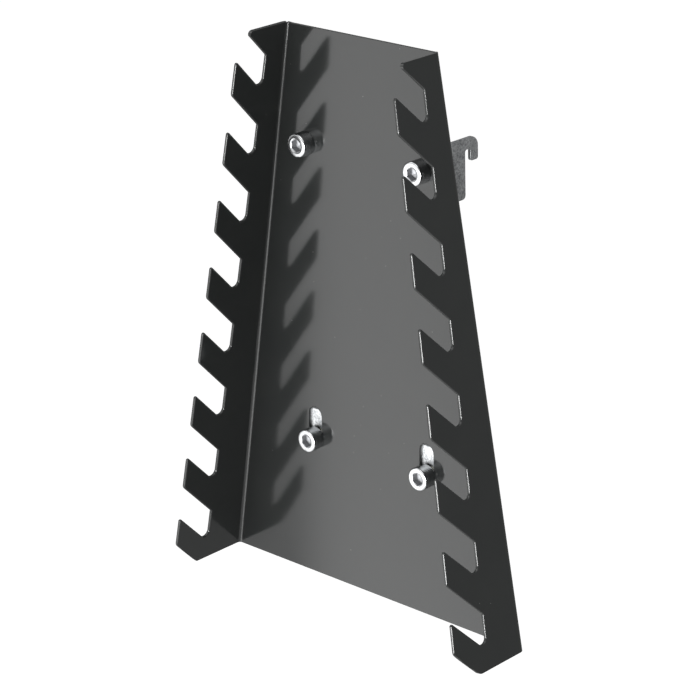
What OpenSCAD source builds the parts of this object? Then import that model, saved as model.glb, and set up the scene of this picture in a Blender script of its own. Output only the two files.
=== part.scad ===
// Wall rack for a set of eight hand tools: one folded, tapered sheet with slanted slots in both
// flanges, hung on a perforated panel by four hook brackets.
// Y = 0 is the face of the panel and the rack stands in front of it, towards -Y. Z = 0 is the
// level at which the upper hooks sit in the panel, and X = 0 is the middle of the rack.

/* [Rack] */
// Height of the rack
rack_h = 245; // [200:1:300]
// Width over both flanges at the top edge
top_w = 83.4; // [80:0.2:100]
// Width over both flanges at the bottom edge
bottom_w = 166.2; // [120:0.2:200]
// Thickness of the folded sheet
sheet_t = 1.5; // [1:0.1:2.5]
// Inside radius of the two folds
fold_r = 1.5; // [0.5:0.1:3]
// Radius of the small relief notch at the top of each fold
relief_r = 0.4; // [0.2:0.1:0.8]

/* [Flanges] */
// Depth of a flange in front of the web at the top edge
top_depth = 26.8; // [22:0.1:34]
// Depth of a flange in front of the web at the bottom edge
bottom_depth = 40.6; // [34:0.1:50]
// Depth of the solid spine behind the slots at the top edge
spine_top = 9.9; // [7:0.1:12]
// Depth of the solid spine behind the slots at the bottom edge
spine_bottom = 21.1; // [14:0.1:24]

/* [Tool slots] */
// Number of slots in each flange
slot_count = 8; // [4:1:8]
// Distance from one slot to the next, along the fold
slot_pitch = 30.36; // [26:0.02:30.4]
// Distance from the top edge to the upper corner of the first slot, along the spine
first_slot = 12.4; // [9:0.1:14]
// Opening of a slot, measured along the spine
slot_open = 15.2; // [10:0.1:18]
// Slope of a slot's two long sides
slant = 45; // [35:0.5:50]
// Radius of the seat in which the tool lies
seat_r = 2.4; // [1:0.1:4]
// Radius on the tips of the tabs
tip_r = 0.8; // [0.3:0.1:1.5]
// Radius on the nose of the uppermost tab
nose_r = 1.5; // [0.5:0.1:2]
// Radius on the lower front corners of the tabs
corner_r = 2.5; // [0.5:0.1:4]
// Height of the slanted cut at the bottom front corner, along the fold
toe_h = 13.1; // [6:0.1:15]
// Radius where that cut meets the bottom edge
toe_r = 4; // [1:0.1:8]

/* [Fixing holes] */
// Distance from the top edge down to the upper screws
screw_drop = 49.8; // [30:0.1:60]
// Distance from the upper down to the lower screws, with these at the bottom of their slots
screw_rise = 131.1; // [100:0.1:150]
// Diameter of the two upper holes
hole_d = 6.6; // [6.4:0.1:7.5]
// Width of the two lower slots
adjust_w = 7.3; // [6.6:0.1:8]
// How far a lower bracket can be moved up in its slot
adjust_travel = 10; // [4:0.5:14]

/* [Hook brackets] */
// Thickness of the bracket sheet
bracket_t = 1.5; // [1:0.1:2]
// Height of a bracket
bracket_h = 25; // [22:0.5:30]
// Width of a bracket
bracket_w = 20; // [19:0.5:24]
// Depth of a bracket, from the back of the rack to the panel
bracket_d = 11.4; // [10:0.2:20]
// Outside distance over the left and the right hooks
hook_span = 87.2; // [85:0.2:92]
// Distance from a hook's outer face to the screw
screw_inset = 11.85; // [11:0.05:13]
// Inside radius of the bracket's fold
bracket_fold_r = 3; // [1:0.1:3.5]
// Height of the arm that goes through the panel
arm_h = 4.8; // [3:0.1:6]
// How far a hook reaches behind the face of the panel
hook_reach = 7.8; // [6.4:0.1:10]
// Whole height of a hook, from the top of its arm to its tip
hook_h = 10; // [8.5:0.1:12]
// Gap between the back of the bracket and the hook's tip, for the panel sheet
hook_gap = 3.2; // [2.4:0.1:3.6]
// Radius of the hook's outer shoulder
shoulder_r = 4.4; // [1:0.1:4.6]
// Radius of the bracket's lower back corner
heel_r = 1.7; // [1:0.1:4]
// Radius of the other corners of a bracket
bracket_corner_r = 1.1; // [0.3:0.1:1.2]

/* [Screws and nuts] */
// Thread diameter of the screws
screw_d = 6; // [5:0.5:6]
// Length of a screw under its head
screw_len = 10; // [8:1:11]
// Diameter of the screw head
head_d = 10; // [9:0.1:10]
// Height of the screw head
head_h = 6; // [5:0.1:6]
// Width across the flats of the hexagon socket
socket_af = 5; // [4:0.5:5]
// Depth of the hexagon socket
socket_depth = 3; // [2:0.1:3.5]
// Diameter of the press nut's body
nut_d = 10.8; // [10:0.1:11]
// Height of the press nut's body
nut_h = 4.1; // [3:0.1:5]
// Diameter of the nut's collar, which is pressed into the bracket
collar_d = 8.7; // [8:0.1:9]

/* [Hidden] */
$fn = 96;

// How far a cutting shape runs past what it cuts
overrun = 2;
// How far each half of the web runs past the middle, so that the halves join
web_lap = 1;
// Radial gap between a screw's thread and its nut
thread_gap = 0.05;
// Radial gap between a nut's collar and its hole
collar_gap = 0.02;
// How far the nut's collar stays inside the bracket sheet
collar_short = 0.1;
// Chamfer on the tip of a screw
tip_chamfer = 0.7;
// Chamfer on the front edge of a screw head
head_chamfer = 0.5;
// Countersink round the mouth of the hexagon socket
socket_chamfer = 0.25;
// Bevel on the outer corners of a nut's body
nut_bevel = 0.5;

// Planes of the web, and the angle by which each fold leans
web_back = -bracket_d;
web_front = web_back - sheet_t;
lean = atan((bottom_w - top_w) / 2 / rack_h);
fold_outer_r = fold_r + sheet_t;
fold_len = rack_h / cos(lean);
bracket_outer_r = bracket_fold_r + bracket_t;
screw_span = hook_span - 2 * screw_inset;

// Heights of the screws and of the rack's edges. The flanges end square to their folds, and the
// web's top edge is level between them, so it lies a little lower than their outer corners.
bracket_top = arm_h;
screw_z = bracket_top - bracket_h / 2;
lower_screw_z = screw_z - screw_rise;
rack_top = screw_z + screw_drop;
rack_bottom = rack_top - rack_h;
web_top = rack_top - fold_outer_r * sin(lean);

// Depth of the flange's front edge and of its spine at a distance s down the fold
function front_at(s) = top_depth + (bottom_depth - top_depth) * s / fold_len;
function spine_at(s) = spine_top + (spine_bottom - spine_top) * s / fold_len;

// Where a slot's side that starts at p on the spine meets the front edge, as [depth, distance
// down the fold]
function meet_front(p) =
    let (k = (bottom_depth - top_depth) / fold_len, t = tan(slant),
        s = (p[1] + (p[0] - top_depth) * t) / (1 + k * t))
    [front_at(s), s];

// Points of slot n: upper and lower ends of its closed side, and its two ends on the front edge
function slot_heel(n) = let (s = first_slot + n * slot_pitch) [spine_at(s), s];
function slot_foot(n) = let (s = first_slot + n * slot_pitch + slot_open) [spine_at(s), s];
function tab_corner(n) = meet_front(slot_heel(n));
function tab_tip(n) = meet_front(slot_foot(n));
function toe_corner() = let (s = fold_len - toe_h) [front_at(s), s];

// Unit vector, and a point a distance r along a direction
function unit(v) = v / norm(v);
function along(p, v, r) = p + r * unit(v);

// The sliver that turns the corner at p, between the directions a and b, into a round of radius r.
// It is what a rounding takes off an outward corner, and what it adds in an inward one.
module corner_sliver(p, a, b, r) {
    half = acos(unit(a) * unit(b)) / 2;
    back = r / tan(half);
    centre = along(p, unit(a) + unit(b), r / sin(half));
    out = unit(a) + unit(b);
    difference() {
        polygon([along(p, out, -overrun / 4), along(p, a, back), centre, along(p, b, back)]);
        translate(centre) circle(r);
    }
}

// Air of slot n in the flange's own plane, with the round seat at its lower end
module slot_air(n) {
    heel = slot_heel(n);
    foot = slot_foot(n);
    mouth_low = along(foot, tab_tip(n) - foot, norm(tab_tip(n) - foot) + 2 * overrun);
    mouth_high = along(heel, tab_corner(n) - heel, norm(tab_corner(n) - heel) + 2 * overrun);
    up = heel - foot;
    out = tab_tip(n) - foot;
    half = acos(unit(up) * unit(out)) / 2;
    back = seat_r / tan(half);
    polygon([heel, mouth_high, mouth_low, along(foot, out, back), along(foot, up, back)]);
    translate(along(foot, unit(up) + unit(out), seat_r / sin(half))) circle(seat_r);
}

// Flange in its own plane: x is the depth in front of the web, y the distance down the fold
module flange_outline() {
    edge = [bottom_depth - top_depth, fold_len];
    rise = [tan(90 - slant), -1];
    top_nose = slot_heel(0) + rise * slot_heel(0)[1];
    toe_end = toe_corner() - rise * toe_h;
    difference() {
        polygon([[fold_r, 0], [top_depth, 0],
            [front_at(fold_len + overrun), fold_len + overrun], [fold_r, fold_len + overrun]]);
        for (n = [0 : slot_count - 1]) slot_air(n);
        for (n = [0 : slot_count - 1])
            corner_sliver(tab_tip(n), edge, -rise, tip_r);
        for (n = [1 : slot_count - 1])
            corner_sliver(tab_corner(n), -edge, -rise, corner_r);
        // Round nose of the uppermost tab
        corner_sliver(top_nose, [-1, 0], -rise, nose_r);
        // Slanted cut at the bottom front corner
        polygon([toe_corner(), toe_corner() + rise * 2 * overrun,
            [front_at(fold_len) + 2 * overrun, fold_len + 2 * overrun],
            toe_end - rise * 2 * overrun]);
        corner_sliver(toe_corner(), -edge, -rise, corner_r);
        corner_sliver(toe_end, rise, [-1, 0], toe_r);
    }
}

// Right-hand frame of a fold: z runs up along it, x = 0 is the flange's outer face
module fold_frame() {
    translate([top_w / 2, 0, rack_top]) rotate([0, -lean, 0]) children();
}

// Right-hand flange with its fold
module flange_side() {
    centre = [-fold_outer_r, web_back - fold_outer_r];
    fold_frame() difference() {
        union() {
            translate([-sheet_t, web_front, 0])
                rotate([-90, 0, -90]) linear_extrude(sheet_t) flange_outline();
            translate([centre[0], centre[1], -fold_len - overrun])
                linear_extrude(fold_len + overrun) intersection() {
                    difference() {
                        circle(fold_outer_r);
                        circle(fold_r);
                    }
                    square(fold_outer_r);
                }
        }
        translate([centre[0], centre[1], 0]) rotate([0, 90, 45])
            cylinder(r = relief_r, h = fold_outer_r + overrun);
    }
}

// Right-hand half of the web, beside the fold and in the fold's frame
module web_side() {
    rise = top_w / 2 * sin(lean) + overrun;
    fold_frame() translate([-bottom_w, web_front, -fold_len - overrun])
        cube([bottom_w - fold_outer_r, sheet_t, fold_len + overrun + rise]);
}

// Box over the right-hand half, from the rack's bottom edge up to the given height
module right_half(height) {
    translate([-web_lap, -bottom_w, rack_bottom])
        cube([bottom_w, 2 * bottom_w, height - rack_bottom]);
}

// Two round holes above and two vertical slots below
module fixing_holes() {
    for (side = [-1, 1]) translate([side * screw_span / 2, web_back + overrun, 0])
        rotate([90, 0, 0]) linear_extrude(sheet_t + 2 * overrun) {
            translate([0, screw_z]) circle(hole_d / 2);
            translate([0, lower_screw_z]) {
                circle(adjust_w / 2);
                translate([0, adjust_travel]) circle(adjust_w / 2);
                translate([-adjust_w / 2, 0]) square([adjust_w, adjust_travel]);
            }
        }
}

module rack_body() {
    color([0.11, 0.11, 0.115]) difference() {
        for (side = [0, 1]) mirror([side, 0, 0]) {
            intersection() {
                flange_side();
                right_half(rack_top);
            }
            intersection() {
                web_side();
                right_half(web_top);
            }
        }
        fixing_holes();
    }
}

// Side wall of a right-hand bracket in the plane of the hook: x is world Y and y is world Z
module hook_outline() {
    low = bracket_top - bracket_h;
    tip = bracket_top - hook_h;
    difference() {
        union() {
            translate([web_back + bracket_outer_r, low])
                square([bracket_d - bracket_outer_r, bracket_h]);
            translate([-bracket_corner_r, 0]) square([hook_reach + bracket_corner_r, arm_h]);
            translate([hook_gap, tip]) square([hook_reach - hook_gap, hook_h]);
        }
        corner_sliver([0, low], [-1, 0], [0, 1], heel_r);
        corner_sliver([hook_reach, bracket_top], [-1, 0], [0, -1], shoulder_r);
        corner_sliver([hook_reach, tip], [-1, 0], [0, 1], bracket_corner_r);
        corner_sliver([hook_gap, tip], [1, 0], [0, 1], bracket_corner_r);
    }
    // Round inner corners of the gap
    corner_sliver([0, 0], [0, -1], [1, 0], bracket_corner_r);
    corner_sliver([hook_gap, 0], [0, -1], [-1, 0], bracket_corner_r);
}

// Right-hand bracket with its screw hole at height z
module bracket(z) {
    outer_x = hook_span / 2;
    leg_x = outer_x - bracket_w;
    flat_w = bracket_w - bracket_outer_r;
    fold_z = bracket_top - bracket_h;
    translate([0, 0, z - screw_z]) {
        difference() {
            translate([leg_x, web_back, fold_z]) cube([flat_w, bracket_t, bracket_h]);
            translate([screw_span / 2, web_back - overrun, screw_z]) rotate([-90, 0, 0])
                cylinder(d = collar_d + 2 * collar_gap, h = bracket_t + 2 * overrun);
            for (level = [[fold_z, 1], [bracket_top, -1]])
                translate([0, web_back + bracket_t + overrun, 0]) rotate([90, 0, 0])
                    linear_extrude(bracket_t + 2 * overrun)
                        corner_sliver([leg_x, level[0]], [1, 0], [0, level[1]], bracket_corner_r);
        }
        translate([outer_x - bracket_outer_r, web_back + bracket_outer_r, fold_z])
            linear_extrude(bracket_h) intersection() {
                difference() {
                    circle(bracket_outer_r);
                    circle(bracket_fold_r);
                }
                translate([0, -bracket_outer_r]) square(bracket_outer_r);
            }
        translate([outer_x - bracket_t, 0, 0]) rotate([90, 0, 90])
            linear_extrude(bracket_t) hook_outline();
    }
}

// Press nut at height z on the right-hand side: its body lies on the back of the bracket's leg
module press_nut(z) {
    bore = screw_d / 2 + thread_gap;
    nut_r = nut_d / 2;
    collar_r = collar_d / 2;
    translate([screw_span / 2, web_back, z]) rotate([-90, 0, 0]) rotate_extrude()
        polygon([[bore, collar_short], [collar_r, collar_short], [collar_r, bracket_t],
            [nut_r, bracket_t], [nut_r, bracket_t + nut_h - nut_bevel],
            [nut_r - nut_bevel, bracket_t + nut_h], [bore, bracket_t + nut_h]]);
}

// Socket head cap screw at height z on the right-hand side, its head flat on the web
module cap_screw(z) {
    thread_r = screw_d / 2;
    head_r = head_d / 2;
    socket_r = socket_af / 2 / cos(180 / 6);
    translate([screw_span / 2, web_front, z]) rotate([-90, 0, 0]) difference() {
        rotate_extrude() polygon([[0, -head_h], [head_r - head_chamfer, -head_h],
            [head_r, head_chamfer - head_h], [head_r, 0], [thread_r, 0],
            [thread_r, screw_len - tip_chamfer], [thread_r - tip_chamfer, screw_len],
            [0, screw_len]]);
        translate([0, 0, -head_h - overrun]) rotate([0, 0, 90])
            cylinder(r = socket_r, h = socket_depth + overrun, $fn = 6);
        translate([0, 0, -head_h]) rotate_extrude()
            polygon([[0, -socket_chamfer], [socket_r + 2 * socket_chamfer, -socket_chamfer],
                [socket_r - socket_chamfer, 2 * socket_chamfer], [0, 2 * socket_chamfer]]);
    }
}

module upper_left_bracket() { color([0.62, 0.62, 0.6]) mirror([1, 0, 0]) bracket(screw_z); }
module upper_right_bracket() { color([0.62, 0.62, 0.6]) bracket(screw_z); }
module lower_left_bracket() { color([0.62, 0.62, 0.6]) mirror([1, 0, 0]) bracket(lower_screw_z); }
module lower_right_bracket() { color([0.62, 0.62, 0.6]) bracket(lower_screw_z); }

module upper_left_nut() { color([0.7, 0.69, 0.64]) mirror([1, 0, 0]) press_nut(screw_z); }
module upper_right_nut() { color([0.7, 0.69, 0.64]) press_nut(screw_z); }
module lower_left_nut() { color([0.7, 0.69, 0.64]) mirror([1, 0, 0]) press_nut(lower_screw_z); }
module lower_right_nut() { color([0.7, 0.69, 0.64]) press_nut(lower_screw_z); }

module upper_left_screw() { color([0.82, 0.82, 0.84]) mirror([1, 0, 0]) cap_screw(screw_z); }
module upper_right_screw() { color([0.82, 0.82, 0.84]) cap_screw(screw_z); }
module lower_left_screw() { color([0.82, 0.82, 0.84]) mirror([1, 0, 0]) cap_screw(lower_screw_z); }
module lower_right_screw() { color([0.82, 0.82, 0.84]) cap_screw(lower_screw_z); }

rack_body();
upper_left_bracket();
upper_right_bracket();
lower_left_bracket();
lower_right_bracket();
upper_left_nut();
upper_right_nut();
lower_left_nut();
lower_right_nut();
upper_left_screw();
upper_right_screw();
lower_left_screw();
lower_right_screw();
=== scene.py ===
import math
import bmesh
import bpy
import numpy as np
from mathutils import Matrix, Vector


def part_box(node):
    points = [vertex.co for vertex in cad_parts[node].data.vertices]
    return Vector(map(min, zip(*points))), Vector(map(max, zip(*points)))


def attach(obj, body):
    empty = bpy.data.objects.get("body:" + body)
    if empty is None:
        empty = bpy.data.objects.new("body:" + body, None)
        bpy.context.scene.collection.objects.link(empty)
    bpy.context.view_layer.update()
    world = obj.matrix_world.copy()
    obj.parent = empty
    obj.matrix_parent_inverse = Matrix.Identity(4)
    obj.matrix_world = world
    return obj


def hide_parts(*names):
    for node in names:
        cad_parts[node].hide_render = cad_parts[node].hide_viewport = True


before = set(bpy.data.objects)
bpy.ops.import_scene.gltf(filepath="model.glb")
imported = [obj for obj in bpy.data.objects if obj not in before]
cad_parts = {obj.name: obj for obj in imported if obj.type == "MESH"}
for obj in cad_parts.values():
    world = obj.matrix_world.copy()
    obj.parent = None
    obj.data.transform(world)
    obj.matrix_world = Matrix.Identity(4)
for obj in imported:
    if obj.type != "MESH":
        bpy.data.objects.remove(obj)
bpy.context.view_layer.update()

# Tapered tool rack, folded from one sheet and enamelled black, on four zinc-plated hook brackets.
# Lengths are metres in the frame's own axes: Y = 0 is the wall panel and -Y is the front.
mm = 0.001
fullTurn = 2 * math.pi
sides = ["upper_left", "upper_right", "lower_left", "lower_right"]
bodyOfBracket = {"upper_left": "rack", "upper_right": "rack",
                 "lower_left": "lower_left_hook", "lower_right": "lower_right_hook"}


def linearColour(hexText):
    # sRGB hex, such as "8a8c8e", to linear RGBA
    parts = [int(hexText[i:i + 2], 16) / 255 for i in (0, 2, 4)]
    return tuple(p / 12.92 if p <= 0.04045 else ((p + 0.055) / 1.055) ** 2.4 for p in parts) + (1.0,)


def setInputs(tree, node, inputs):
    # Each input takes a value, or a link from another node's output
    for name, value in inputs.items():
        if isinstance(value, bpy.types.NodeSocket):
            tree.links.new(value, node.inputs[name])
        else:
            node.inputs[name].default_value = value


def addNode(tree, kind, inputs=None, **settings):
    # One node with its settings and inputs. The sockets of Math and Mix go by number: in Mix, 0 is
    # the factor, 2 and 3 the two values, 6 and 7 the two colours, and the colour comes out of 2
    made = tree.nodes.new(kind)
    for name, value in settings.items():
        setattr(made, name, value)
    setInputs(tree, made, inputs or {})
    return made


def startMaterial(name, values):
    # A Principled material with its uniform sockets set directly
    material = bpy.data.materials.new(name)
    material.use_nodes = True
    tree = material.node_tree
    shader = tree.nodes["Principled BSDF"]
    setInputs(tree, shader, values)
    return material, tree, shader


def addObject(name, data):
    # A new object at the origin, linked into the scene
    made = bpy.data.objects.new(name, data)
    bpy.context.scene.collection.objects.link(made)
    return made


def finishPiece(piece, material, body, node):
    # Gives a piece its finish and its CAD body, and hides the node that it stands for
    piece.data.materials.clear()
    piece.data.materials.append(material)
    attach(piece, body)
    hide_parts(node)


print("materials")
enamel = {
    "dark": "333535", "light": "393b3a", "speck": "666866",   # two tones of cloudy black, and dust
    "ior": 1.43, "roughness": (0.10, 0.14),
    "cloudSize": 22 * mm, "cloudDetail": 2.0,
    "peelSize": 2.6 * mm, "peelDetail": 1.0, "peelDepth": 0.0022 * mm,   # real peel is 2 to 3 mm wide
    "speckSpacing": 7 * mm, "speckRadius": 0.22 * mm, "speckShare": 0.35,
}


def glossEnamel():
    # Stoved gloss enamel over steel: a black that mirrors what is near it, with a faint orange
    # peel from the spray gun and a few specks of dust under the gloss
    material, tree, shader = startMaterial("stoved_gloss_enamel", {"IOR": enamel["ior"]})
    place = addNode(tree, "ShaderNodeTexCoord").outputs["Object"]
    cloud = addNode(tree, "ShaderNodeTexNoise", {"Vector": place, "Scale": 1 / enamel["cloudSize"],
                                                 "Detail": enamel["cloudDetail"]}).outputs["Fac"]
    peel = addNode(tree, "ShaderNodeTexNoise", {"Vector": place, "Scale": 1 / enamel["peelSize"],
                                                "Detail": enamel["peelDetail"]}).outputs["Fac"]
    cells = addNode(tree, "ShaderNodeTexVoronoi",
                    {"Vector": place, "Scale": 1 / enamel["speckSpacing"]})
    near = addNode(tree, "ShaderNodeMath",
                   {0: cells.outputs["Distance"], 1: enamel["speckRadius"] / enamel["speckSpacing"]},
                   operation="LESS_THAN").outputs[0]
    chosen = addNode(tree, "ShaderNodeMath", {0: cells.outputs["Color"], 1: enamel["speckShare"]},
                     operation="LESS_THAN").outputs[0]
    speck = addNode(tree, "ShaderNodeMath", {0: near, 1: chosen}, operation="MULTIPLY").outputs[0]
    black = addNode(tree, "ShaderNodeMix", {0: cloud, 6: linearColour(enamel["dark"]),
                                            7: linearColour(enamel["light"])},
                    data_type="RGBA").outputs[2]
    colour = addNode(tree, "ShaderNodeMix", {0: speck, 6: black, 7: linearColour(enamel["speck"])},
                     data_type="RGBA").outputs[2]
    low, high = enamel["roughness"]
    rough = addNode(tree, "ShaderNodeMapRange",
                    {"Value": cloud, "To Min": low, "To Max": high}).outputs[0]
    bump = addNode(tree, "ShaderNodeBump",
                   {"Height": peel, "Distance": enamel["peelDepth"], "Strength": 1.0}).outputs[0]
    setInputs(tree, shader, {"Base Color": colour, "Roughness": rough, "Normal": bump})
    return material


zincSheet = {
    # each span is the part of the noise that runs from the first value to the second
    "dark": "86888a", "light": "c6c8c9", "toneSpan": (0.4, 0.6),
    "roughness": (0.66, 0.32), "roughnessSpan": (0.42, 0.58),
    "grainSize": 0.9 * mm, "grainDepth": 0.06 * mm,   # coarser than real zinc, so that it shows
    "grainDetail": 3.0, "grainHarshness": 0.6,
    "cloudSize": 5 * mm, "cloudDetail": 1.0, "cloudShare": 0.25,
}


def platedSheet():
    # Zinc-plated cold-rolled sheet: a grey metal with a mottled, slightly rough grain
    material, tree, shader = startMaterial("zinc_plated_sheet", {"Metallic": 1.0})
    place = addNode(tree, "ShaderNodeTexCoord").outputs["Object"]
    grain = addNode(tree, "ShaderNodeTexNoise",
                    {"Vector": place, "Scale": 1 / zincSheet["grainSize"],
                     "Detail": zincSheet["grainDetail"],
                     "Roughness": zincSheet["grainHarshness"]}).outputs["Fac"]
    cloud = addNode(tree, "ShaderNodeTexNoise", {"Vector": place, "Scale": 1 / zincSheet["cloudSize"],
                                                 "Detail": zincSheet["cloudDetail"]}).outputs["Fac"]
    both = addNode(tree, "ShaderNodeMix", {0: zincSheet["cloudShare"], 2: grain, 3: cloud}).outputs[0]
    low, high = zincSheet["toneSpan"]
    tone = addNode(tree, "ShaderNodeMapRange",
                   {"Value": both, "From Min": low, "From Max": high}).outputs[0]
    colour = addNode(tree, "ShaderNodeMix", {0: tone, 6: linearColour(zincSheet["dark"]),
                                             7: linearColour(zincSheet["light"])},
                     data_type="RGBA").outputs[2]
    low, high = zincSheet["roughnessSpan"]
    roughest, smoothest = zincSheet["roughness"]
    rough = addNode(tree, "ShaderNodeMapRange", {"Value": grain, "From Min": low, "From Max": high,
                                                 "To Min": roughest, "To Max": smoothest}).outputs[0]
    bump = addNode(tree, "ShaderNodeBump",
                   {"Height": grain, "Distance": zincSheet["grainDepth"], "Strength": 1.0}).outputs[0]
    setInputs(tree, shader, {"Base Color": colour, "Roughness": rough, "Normal": bump})
    return material


brightZinc = {
    "screw": ("a4a6a8", "cccdce"), "nut": ("a8a598", "cfccc0"), "roughness": (0.12, 0.22),
    "blotchSize": 1.5 * mm, "blotchDetail": 3.0,
    # rings left by the lathe on a screw's profile, wider than the real ones, so that they show
    "profileLength": 30 * mm, "ringWidth": 0.5 * mm, "ringDepth": 0.004 * mm,
    "ringDetail": 2.0, "ringChanges": 2.0,   # a ring changes this often on its way round
    # the socket, which is this share of the profile's rows, takes a darker colour as painted shade,
    # and a rougher zinc
    "socketPaintedShade": "8a8b8d", "socketRoughness": 0.6, "socketShare": 0.05,
}


def turnedZinc(name, tones, socketShare):
    # Bright zinc over turned steel: a light metal with fine rings round its axis and soft blotches.
    # The first socketShare of the profile's rows is the inside of a socket, painted darker as shade
    # and made rougher
    material, tree, shader = startMaterial(name, {"Metallic": 1.0})
    source = addNode(tree, "ShaderNodeTexCoord")
    ringCount = brightZinc["profileLength"] / brightZinc["ringWidth"]
    profile = addNode(tree, "ShaderNodeMapping",
                      {"Vector": source.outputs["UV"],
                       "Scale": (ringCount, brightZinc["ringChanges"], 1.0)}).outputs[0]
    rings = addNode(tree, "ShaderNodeTexNoise", {"Vector": profile, "Scale": 1.0,
                                                 "Detail": brightZinc["ringDetail"]}).outputs["Fac"]
    blotch = addNode(tree, "ShaderNodeTexNoise",
                     {"Vector": source.outputs["Object"], "Scale": 1 / brightZinc["blotchSize"],
                      "Detail": brightZinc["blotchDetail"]}).outputs["Fac"]
    plated = addNode(tree, "ShaderNodeMix", {0: blotch, 6: linearColour(tones[0]),
                                             7: linearColour(tones[1])}, data_type="RGBA").outputs[2]
    share = addNode(tree, "ShaderNodeSeparateXYZ", {0: source.outputs["UV"]}).outputs[0]
    inSocket = addNode(tree, "ShaderNodeMath", {0: share, 1: socketShare},
                       operation="LESS_THAN").outputs[0]
    # painted shade: the socket's rows take a darker colour than the plated zinc
    colour = addNode(tree, "ShaderNodeMix", {0: inSocket, 6: plated,
                                             7: linearColour(brightZinc["socketPaintedShade"])},
                     data_type="RGBA").outputs[2]
    low, high = brightZinc["roughness"]
    turned = addNode(tree, "ShaderNodeMapRange",
                     {"Value": blotch, "To Min": low, "To Max": high}).outputs[0]
    rough = addNode(tree, "ShaderNodeMix",
                    {0: inSocket, 2: turned, 3: brightZinc["socketRoughness"]}).outputs[0]
    bump = addNode(tree, "ShaderNodeBump",
                   {"Height": rings, "Distance": brightZinc["ringDepth"], "Strength": 1.0}).outputs[0]
    setInputs(tree, shader, {"Base Color": colour, "Roughness": rough, "Normal": bump})
    return material


enamelBlack = glossEnamel()
zincGrey = platedSheet()
zincScrew = turnedZinc("bright_zinc_turned_steel", brightZinc["screw"], brightZinc["socketShare"])
zincNut = turnedZinc("zinc_plated_press_nut", brightZinc["nut"], 0.0)


# Sheet pieces: merged copies of the CAD solids with the rounded edges that blanking and paint leave
sheetMesh = {"mergeDistance": 0.002 * mm, "flatAngle": math.radians(1), "sharpAngle": math.radians(40)}


def roundedCopy(name, node, radius, segments, plainFoot, plainTop):
    # Edges sharper than sharpAngle are rounded. Those that reach into the lowest plainFoot or the
    # highest plainTop stay sharp, because folds and corners meet the level cuts there in slivers
    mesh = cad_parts[node].data.copy()
    mesh.name = name
    work = bmesh.new()
    work.from_mesh(mesh)
    bmesh.ops.remove_doubles(work, verts=work.verts, dist=sheetMesh["mergeDistance"])
    bmesh.ops.dissolve_limit(work, angle_limit=sheetMesh["flatAngle"], verts=work.verts,
                             edges=work.edges)
    weight = work.edges.layers.float.new("bevel_weight_edge")
    low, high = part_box(node)
    for edge in work.edges:
        sharp = edge.is_manifold and edge.calc_face_angle() > sheetMesh["sharpAngle"]
        inside = all(low.z + plainFoot <= v.co.z <= high.z - plainTop for v in edge.verts)
        edge[weight] = float(sharp and inside)
        edge.smooth = inside or not sharp
    work.to_mesh(mesh)
    work.free()
    mesh.polygons.foreach_set("use_smooth", np.ones(len(mesh.polygons), bool))
    piece = addObject(name, mesh)
    bevel = piece.modifiers.new("edges", "BEVEL")
    bevel.width = radius
    bevel.segments = segments
    bevel.limit_method = "WEIGHT"
    bevel.use_clamp_overlap = False
    bevel.harden_normals = True
    weighted = piece.modifiers.new("flat_faces", "WEIGHTED_NORMAL")
    weighted.mode = "FACE_AREA"
    weighted.weight = 100
    weighted.keep_sharp = True
    return piece


print("rack")
# Paint pulls thin over a blanked edge and rounds it
rackEdge = {"radius": 0.6 * mm, "segments": 4, "plainFoot": 1.2 * mm, "plainTop": 2.5 * mm}
rackPiece = roundedCopy("rack_sheet", "rack_body", **rackEdge)
finishPiece(rackPiece, enamelBlack, "rack", "rack_body")

print("brackets")
bracketEdge = {"radius": 0.18 * mm, "segments": 2, "plainFoot": 0.0, "plainTop": 0.0}
for side in sides:
    bracketPiece = roundedCopy(side + "_hook_bracket", side + "_bracket", **bracketEdge)
    finishPiece(bracketPiece, zincGrey, bodyOfBracket[side], side + "_bracket")


# Turned pieces: a profile turned about a node's axis, worked out on a grid of stations by angles
turnedMesh = {"mergeDistance": 0.0005 * mm, "sharpAngle": math.radians(38)}


def turnedPiece(name, node, radius, along, closed):
    # The axis runs along Y through the middle of the node, from its front end. Point (i, j) is
    # centre + radius[i, j] * (sin a, 0, cos a) + along[i, j] in Y, with a = angle j
    low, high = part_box(node)
    rows, columns = radius.shape
    angle = np.linspace(0, fullTurn, columns, endpoint=False)
    points = np.stack([(low.x + high.x) / 2 + radius * np.sin(angle), low.y + along,
                       (low.z + high.z) / 2 + radius * np.cos(angle)], axis=-1).reshape(-1, 3)
    i, j = np.meshgrid(np.arange(rows if closed else rows - 1), np.arange(columns), indexing="ij")
    nextI, nextJ = (i + 1) % rows, (j + 1) % columns
    quads = np.stack([i * columns + j, nextI * columns + j, nextI * columns + nextJ,
                      i * columns + nextJ], axis=-1).reshape(-1, 4)
    mesh = bpy.data.meshes.new(name)
    mesh.from_pydata(points.tolist(), [], quads.tolist())
    u = np.stack([i, i + 1, i + 1, i], axis=-1).reshape(-1) / rows
    v = np.stack([j, j, j + 1, j + 1], axis=-1).reshape(-1) / columns
    mesh.uv_layers.new(name="turned").data.foreach_set("uv", np.stack([u, v], axis=-1).ravel())
    work = bmesh.new()
    work.from_mesh(mesh)
    bmesh.ops.remove_doubles(work, verts=work.verts, dist=turnedMesh["mergeDistance"])
    bmesh.ops.recalc_face_normals(work, faces=work.faces)
    work.to_mesh(mesh)
    work.free()
    mesh.polygons.foreach_set("use_smooth", np.ones(len(mesh.polygons), bool))
    mesh.set_sharp_from_angle(angle=turnedMesh["sharpAngle"])
    return addObject(name, mesh)


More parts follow.
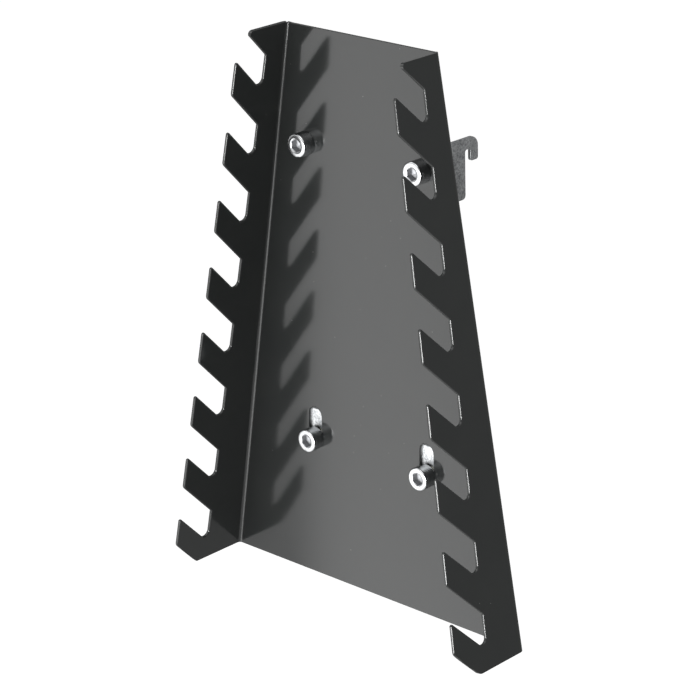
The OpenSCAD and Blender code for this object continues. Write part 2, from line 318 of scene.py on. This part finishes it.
print("screws")
screw = {
    "acrossFlats": 5 * mm, "socketDepth": 3 * mm, "drillPoint": 0.7 * mm,
    # shares of the hexagon's radius, of the socket's depth and of the drill point
    "socketShares": ((0, 1, 1), (0.5, 1, 0.3), (0.82, 1, 0), (1, 1, 0), (1, 0.6, 0)),
    "countersink": 2.98 * mm, "countersinkSlope": 0.7, "faceShares": (0.33, 0.66),
    "headHeight": 6 * mm, "headRadius": 5 * mm, "rim": 0.65 * mm, "rimRows": 6,
    "knurls": 57, "knurlDepth": 0.07 * mm, "columnsPerKnurl": 4,
    # shares of the side's height below the rim, and of the knurl's depth there
    "knurlShares": ((0.06, 0), (0.12, 1), (0.35, 1), (0.6, 1), (0.85, 1), (0.95, 0), (1, 0)),
    "underChamfer": 0.2 * mm, "neck": 0.3 * mm,
    "threadRadius": 3 * mm, "pitch": 1 * mm, "threadDepth": 0.6 * mm, "flatShare": 0.125,
    "rowsPerPitch": 10, "tipChamfer": 0.7 * mm,
}


def socketRows(angle):
    # Drill point, hexagonal wall and countersink. The hexagon's radius is half its flats / cos(a),
    # with a measured from the middle of each side, and the countersink is a cone that cuts it
    sixth = fullTurn / 6
    hexagon = screw["acrossFlats"] / 2 / np.cos((angle % sixth) - sixth / 2)
    wide, deep, point = np.array(screw["socketShares"]).T[..., None]
    sink = screw["countersink"]
    return [(wide * hexagon, deep * screw["socketDepth"] + point * screw["drillPoint"]),
            ([hexagon], [(sink - hexagon) * screw["countersinkSlope"]]),
            ([[sink]], [[0]])]


def headRows(angle):
    # Face, rim and knurled side. The rim is a quarter of a circle, and the knurl takes a cosine
    # wave, depth * (1 - cos(knurls * a)) / 2, off the side
    edge, rim, sink = screw["headRadius"], screw["rim"], screw["countersink"]
    face = sink + np.array(screw["faceShares"])[:, None] * (edge - rim - sink)
    turn = np.linspace(0, math.pi / 2, screw["rimRows"])[:, None]
    knurl = screw["knurlDepth"] * (0.5 - 0.5 * np.cos(screw["knurls"] * angle))
    down, cut = np.array(screw["knurlShares"]).T[..., None]
    sideEnd = screw["headHeight"] - screw["underChamfer"]
    return [(face, 0 * face),
            (edge - rim + rim * np.sin(turn), rim - rim * np.cos(turn)),
            (edge - cut * knurl, rim + down * (sideEnd - rim)),
            ([[edge - screw["underChamfer"]]], [[screw["headHeight"]]])]


def shankRows(angle, length):
    # Neck, thread and tip. The thread is a triangle wave in (distance / pitch - turns), so that it
    # climbs as a helix, and it is cut off at flatShare of its depth for the crests and the roots
    head, thread, pitch = screw["headHeight"], screw["threadRadius"], screw["pitch"]
    start, end = head + screw["neck"], length - screw["tipChamfer"]
    y = np.linspace(start, end, int((end - start) / pitch * screw["rowsPerPitch"]))[1:, None]
    phase = (y / pitch - angle / fullTurn) % 1
    flat = screw["flatShare"]
    cut = np.clip((1 + 2 * flat) * (1 - 2 * np.abs(phase - 0.5)) - flat, 0, 1)
    fade = np.minimum(1, (y - start) / pitch)
    return [([[thread + screw["neck"]], [thread]], [[head], [start]]),
            (thread - fade * screw["threadDepth"] * cut, y),
            ([[thread - screw["tipChamfer"]], [0]], [[length], [length]])]


def capScrew(name, node):
    # Socket head cap screw: the profile runs from the bottom of the socket over the head's face,
    # rim and side to the threaded shank and its tip
    low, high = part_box(node)
    angle = np.linspace(0, fullTurn, screw["knurls"] * screw["columnsPerKnurl"], endpoint=False)
    rows = socketRows(angle) + headRows(angle) + shankRows(angle, high.y - low.y)
    spread = [np.broadcast_arrays(radius, along, angle)[:2] for radius, along in rows]
    radius, along = (np.concatenate(blocks) for blocks in zip(*spread))
    return turnedPiece(name, node, radius, along, closed=False)


for side in sides:
    screwPiece = capScrew(side + "_cap_screw", side + "_screw")
    finishPiece(screwPiece, zincScrew, side + "_bolt", side + "_screw")

print("nuts")
nut = {
    "bore": 3.05 * mm, "mouth": 0.35 * mm, "chamfer": 0.1 * mm, "edge": 0.5 * mm,
    "collarRadius": 4.35 * mm, "collarHeight": 1.4 * mm,   # just short of the bracket's sheet
    "steps": (2, 2, 2, 1, 4, 2, 4, 2, 4, 1), "columns": 96,
}


def pressNut(name, node):
    # Press nut: a closed ring of collar, body and bore. Its profile goes round ten corners, with
    # even steps from each to the next
    low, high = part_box(node)
    outer, length = (high.x - low.x) / 2, high.y - low.y
    bore, collar, step = nut["bore"], nut["collarRadius"], nut["collarHeight"]
    chamfer, edge, mouth = nut["chamfer"], nut["edge"], nut["mouth"]
    corners = [(bore + mouth, 0), (collar, 0), (collar, step), (outer - chamfer, step),
               (outer, step + chamfer), (outer, length - edge), (outer - edge, length),
               (bore + mouth, length), (bore, length - mouth), (bore, mouth)]
    profile = np.concatenate([np.linspace(corner, following, steps, endpoint=False)
                              for corner, following, steps
                              in zip(corners, corners[1:] + corners[:1], nut["steps"])])
    radius, along = np.repeat(profile.T[..., None], nut["columns"], axis=-1)
    return turnedPiece(name, node, radius, along, closed=True)


for side in sides:
    nutPiece = pressNut(side + "_press_nut", side + "_nut")
    finishPiece(nutPiece, zincNut, bodyOfBracket[side], side + "_nut")


# Studio: a plain pale floor well below the hanging rack, soft lamps and a white surround
print("studio")
studio = {
    "floorZ": -0.95, "floorReach": 9.0, "floorColour": "e6e6e6", "floorLift": 0.62,
    "white": "ffffff", "black": "000000", "surround": 1.0, "ambient": 0.5,
}


def seesBackground(tree):
    # 1 for camera, glossy and transmission rays, 0 for the rays that carry the light
    path = addNode(tree, "ShaderNodeLightPath")
    total = path.outputs["Is Camera Ray"]
    for other in ("Is Glossy Ray", "Is Transmission Ray"):
        total = addNode(tree, "ShaderNodeMath", {0: total, 1: path.outputs[other]},
                        operation="MAXIMUM").outputs[0]
    return total


def flatPanel(name, corners, material):
    # One flat polygon of the studio
    mesh = bpy.data.meshes.new(name)
    mesh.from_pydata(corners, [], [range(len(corners))])
    mesh.materials.append(material)
    panel = addObject(name, mesh)
    return panel


world = bpy.data.worlds.new("surround")
bpy.context.scene.world = world
world.use_nodes = True
strength = addNode(world.node_tree, "ShaderNodeMapRange",
                   {"Value": seesBackground(world.node_tree), "To Min": studio["ambient"],
                    "To Max": studio["surround"]}).outputs[0]
setInputs(world.node_tree, world.node_tree.nodes["Background"],
          {"Color": linearColour(studio["white"]), "Strength": strength})

paper, paperTree, paperShader = startMaterial("floor_paper", {
    "Base Color": linearColour(studio["floorColour"]), "Roughness": 0.9, "Specular IOR Level": 0.2,
    "Emission Color": linearColour(studio["white"])})
lift = addNode(paperTree, "ShaderNodeMath", {0: seesBackground(paperTree), 1: studio["floorLift"]},
               operation="MULTIPLY").outputs[0]
setInputs(paperTree, paperShader, {"Emission Strength": lift})
reach, floorZ = studio["floorReach"], studio["floorZ"]
flatPanel("floor", [(-reach, -reach, floorZ), (reach, -reach, floorZ), (reach, reach, floorZ),
                    (-reach, reach, floorZ)], paper)

# Dark cards round the rack, seen only in its gloss, keep its sides deep
cards = {
    "back_card": {"radiance": 0.24, "corners": [(-2.5, 0.55, -0.55), (3.2, 0.55, -0.55),
                                                (3.2, 1.3, 2.6), (-2.5, 1.3, 2.6)]},
    "side_card": {"radiance": 0.06, "corners": [(-1.0, -0.42, -0.8), (-1.0, 0.5, -0.8),
                                                (-1.0, 0.5, 1.0), (-1.0, -0.42, 1.0)]},
    "front_right_card": {"radiance": 0.06, "corners": [(0.75, -1.0, -0.9), (1.3, -0.25, -0.9),
                                                       (1.3, -0.25, 0.7), (0.75, -1.0, 0.7)]},
    "under_card": {"radiance": 0.4, "corners": [(-2.5, 0.02, -0.72), (3.2, 0.02, -0.72),
                                                (3.2, 0.55, -0.55), (-2.5, 0.55, -0.55)]},
}
for cardName, card in cards.items():
    felt = startMaterial(cardName + "_felt", {
        "Base Color": linearColour(studio["black"]), "Roughness": 1.0,
        "Emission Color": linearColour(studio["white"]), "Emission Strength": card["radiance"]})[0]
    darkCard = flatPanel(cardName, card["corners"], felt)
    for ray in ("visible_camera", "visible_diffuse", "visible_transmission", "visible_shadow"):
        setattr(darkCard, ray, False)

# A lamp with glossOnly is a bright card, which only shows in the gloss. The edge strip stands far
# off, so that, seen from the front, only the cut edges of the right flange mirror it
lamps = {
    "low_softbox": {"at": (-0.33, -0.75, -0.40), "aim": (0.21, -0.21, -0.10), "size": (0.62, 0.62),
                    "radiance": 1.88, "glossOnly": False},
    "edge_strip": {"at": (0.66, -2.4, -0.49), "aim": (0.1, 0.0, -0.49), "size": (1.9, 0.84),
                   "radiance": 32.0, "glossOnly": True},
    "front_card": {"at": (0.10, -0.86, -0.62), "aim": (0.0, -0.02, -0.08), "size": (0.7, 0.36),
                   "radiance": 2.6, "glossOnly": True},
    "left_card": {"at": (-0.78, -0.43, 0.80), "aim": (0.0, -0.02, -0.08), "size": (0.7, 0.7),
                  "radiance": 1.7, "glossOnly": True},
    "overhead": {"at": (0.3, -1.2, 1.9), "aim": (0.0, 0.0, -0.1), "size": (1.6, 1.6),
                 "radiance": 1.6, "glossOnly": False},
}
for lampName, lamp in lamps.items():
    light = bpy.data.lights.new(lampName, "AREA")
    light.shape = "RECTANGLE"
    light.size, light.size_y = lamp["size"]
    light.energy = lamp["radiance"] * math.pi * light.size * light.size_y   # a panel's watts
    holder = addObject(lampName, light)
    holder.location = lamp["at"]
    direction = Vector(lamp["aim"]) - Vector(lamp["at"])
    holder.rotation_euler = direction.to_track_quat("-Z", "Y").to_euler()
    holder.visible_camera = False
    holder.visible_diffuse = not lamp["glossOnly"]

print("camera")
photoCamera = {"azimuth": 43.726, "elevation": 20.874, "roll": -1.6, "distance": 1.111627,
               "target": (-0.011106, -0.0129, -0.09295), "lens": 137.894, "sensor": 36,
               "clip": (0.05, 50)}


def placeCamera():
    # Looks at the target from the azimuth a and elevation e, back along (sin a cos e, -cos a cos e,
    # sin e), and is rolled about its own line of sight
    a, e, r = (math.radians(photoCamera[k]) for k in ("azimuth", "elevation", "roll"))
    back = Vector((math.sin(a) * math.cos(e), -math.cos(a) * math.cos(e), math.sin(e)))
    right = (-back).cross(Vector((0, 0, 1))).normalized()
    up = right.cross(-back)
    turnedRight = math.cos(r) * right + math.sin(r) * up
    turnedUp = -math.sin(r) * right + math.cos(r) * up
    data = bpy.data.cameras.new("photo_camera")
    data.lens = photoCamera["lens"]
    data.sensor_width = photoCamera["sensor"]
    data.clip_start, data.clip_end = photoCamera["clip"]
    camera = addObject("photo_camera", data)
    place = Matrix((turnedRight, turnedUp, back)).transposed().to_4x4()
    place.translation = Vector(photoCamera["target"]) + back * photoCamera["distance"]
    camera.matrix_world = place
    bpy.context.scene.camera = camera


placeCamera()
bpy.context.scene.view_settings.view_transform = "Standard"
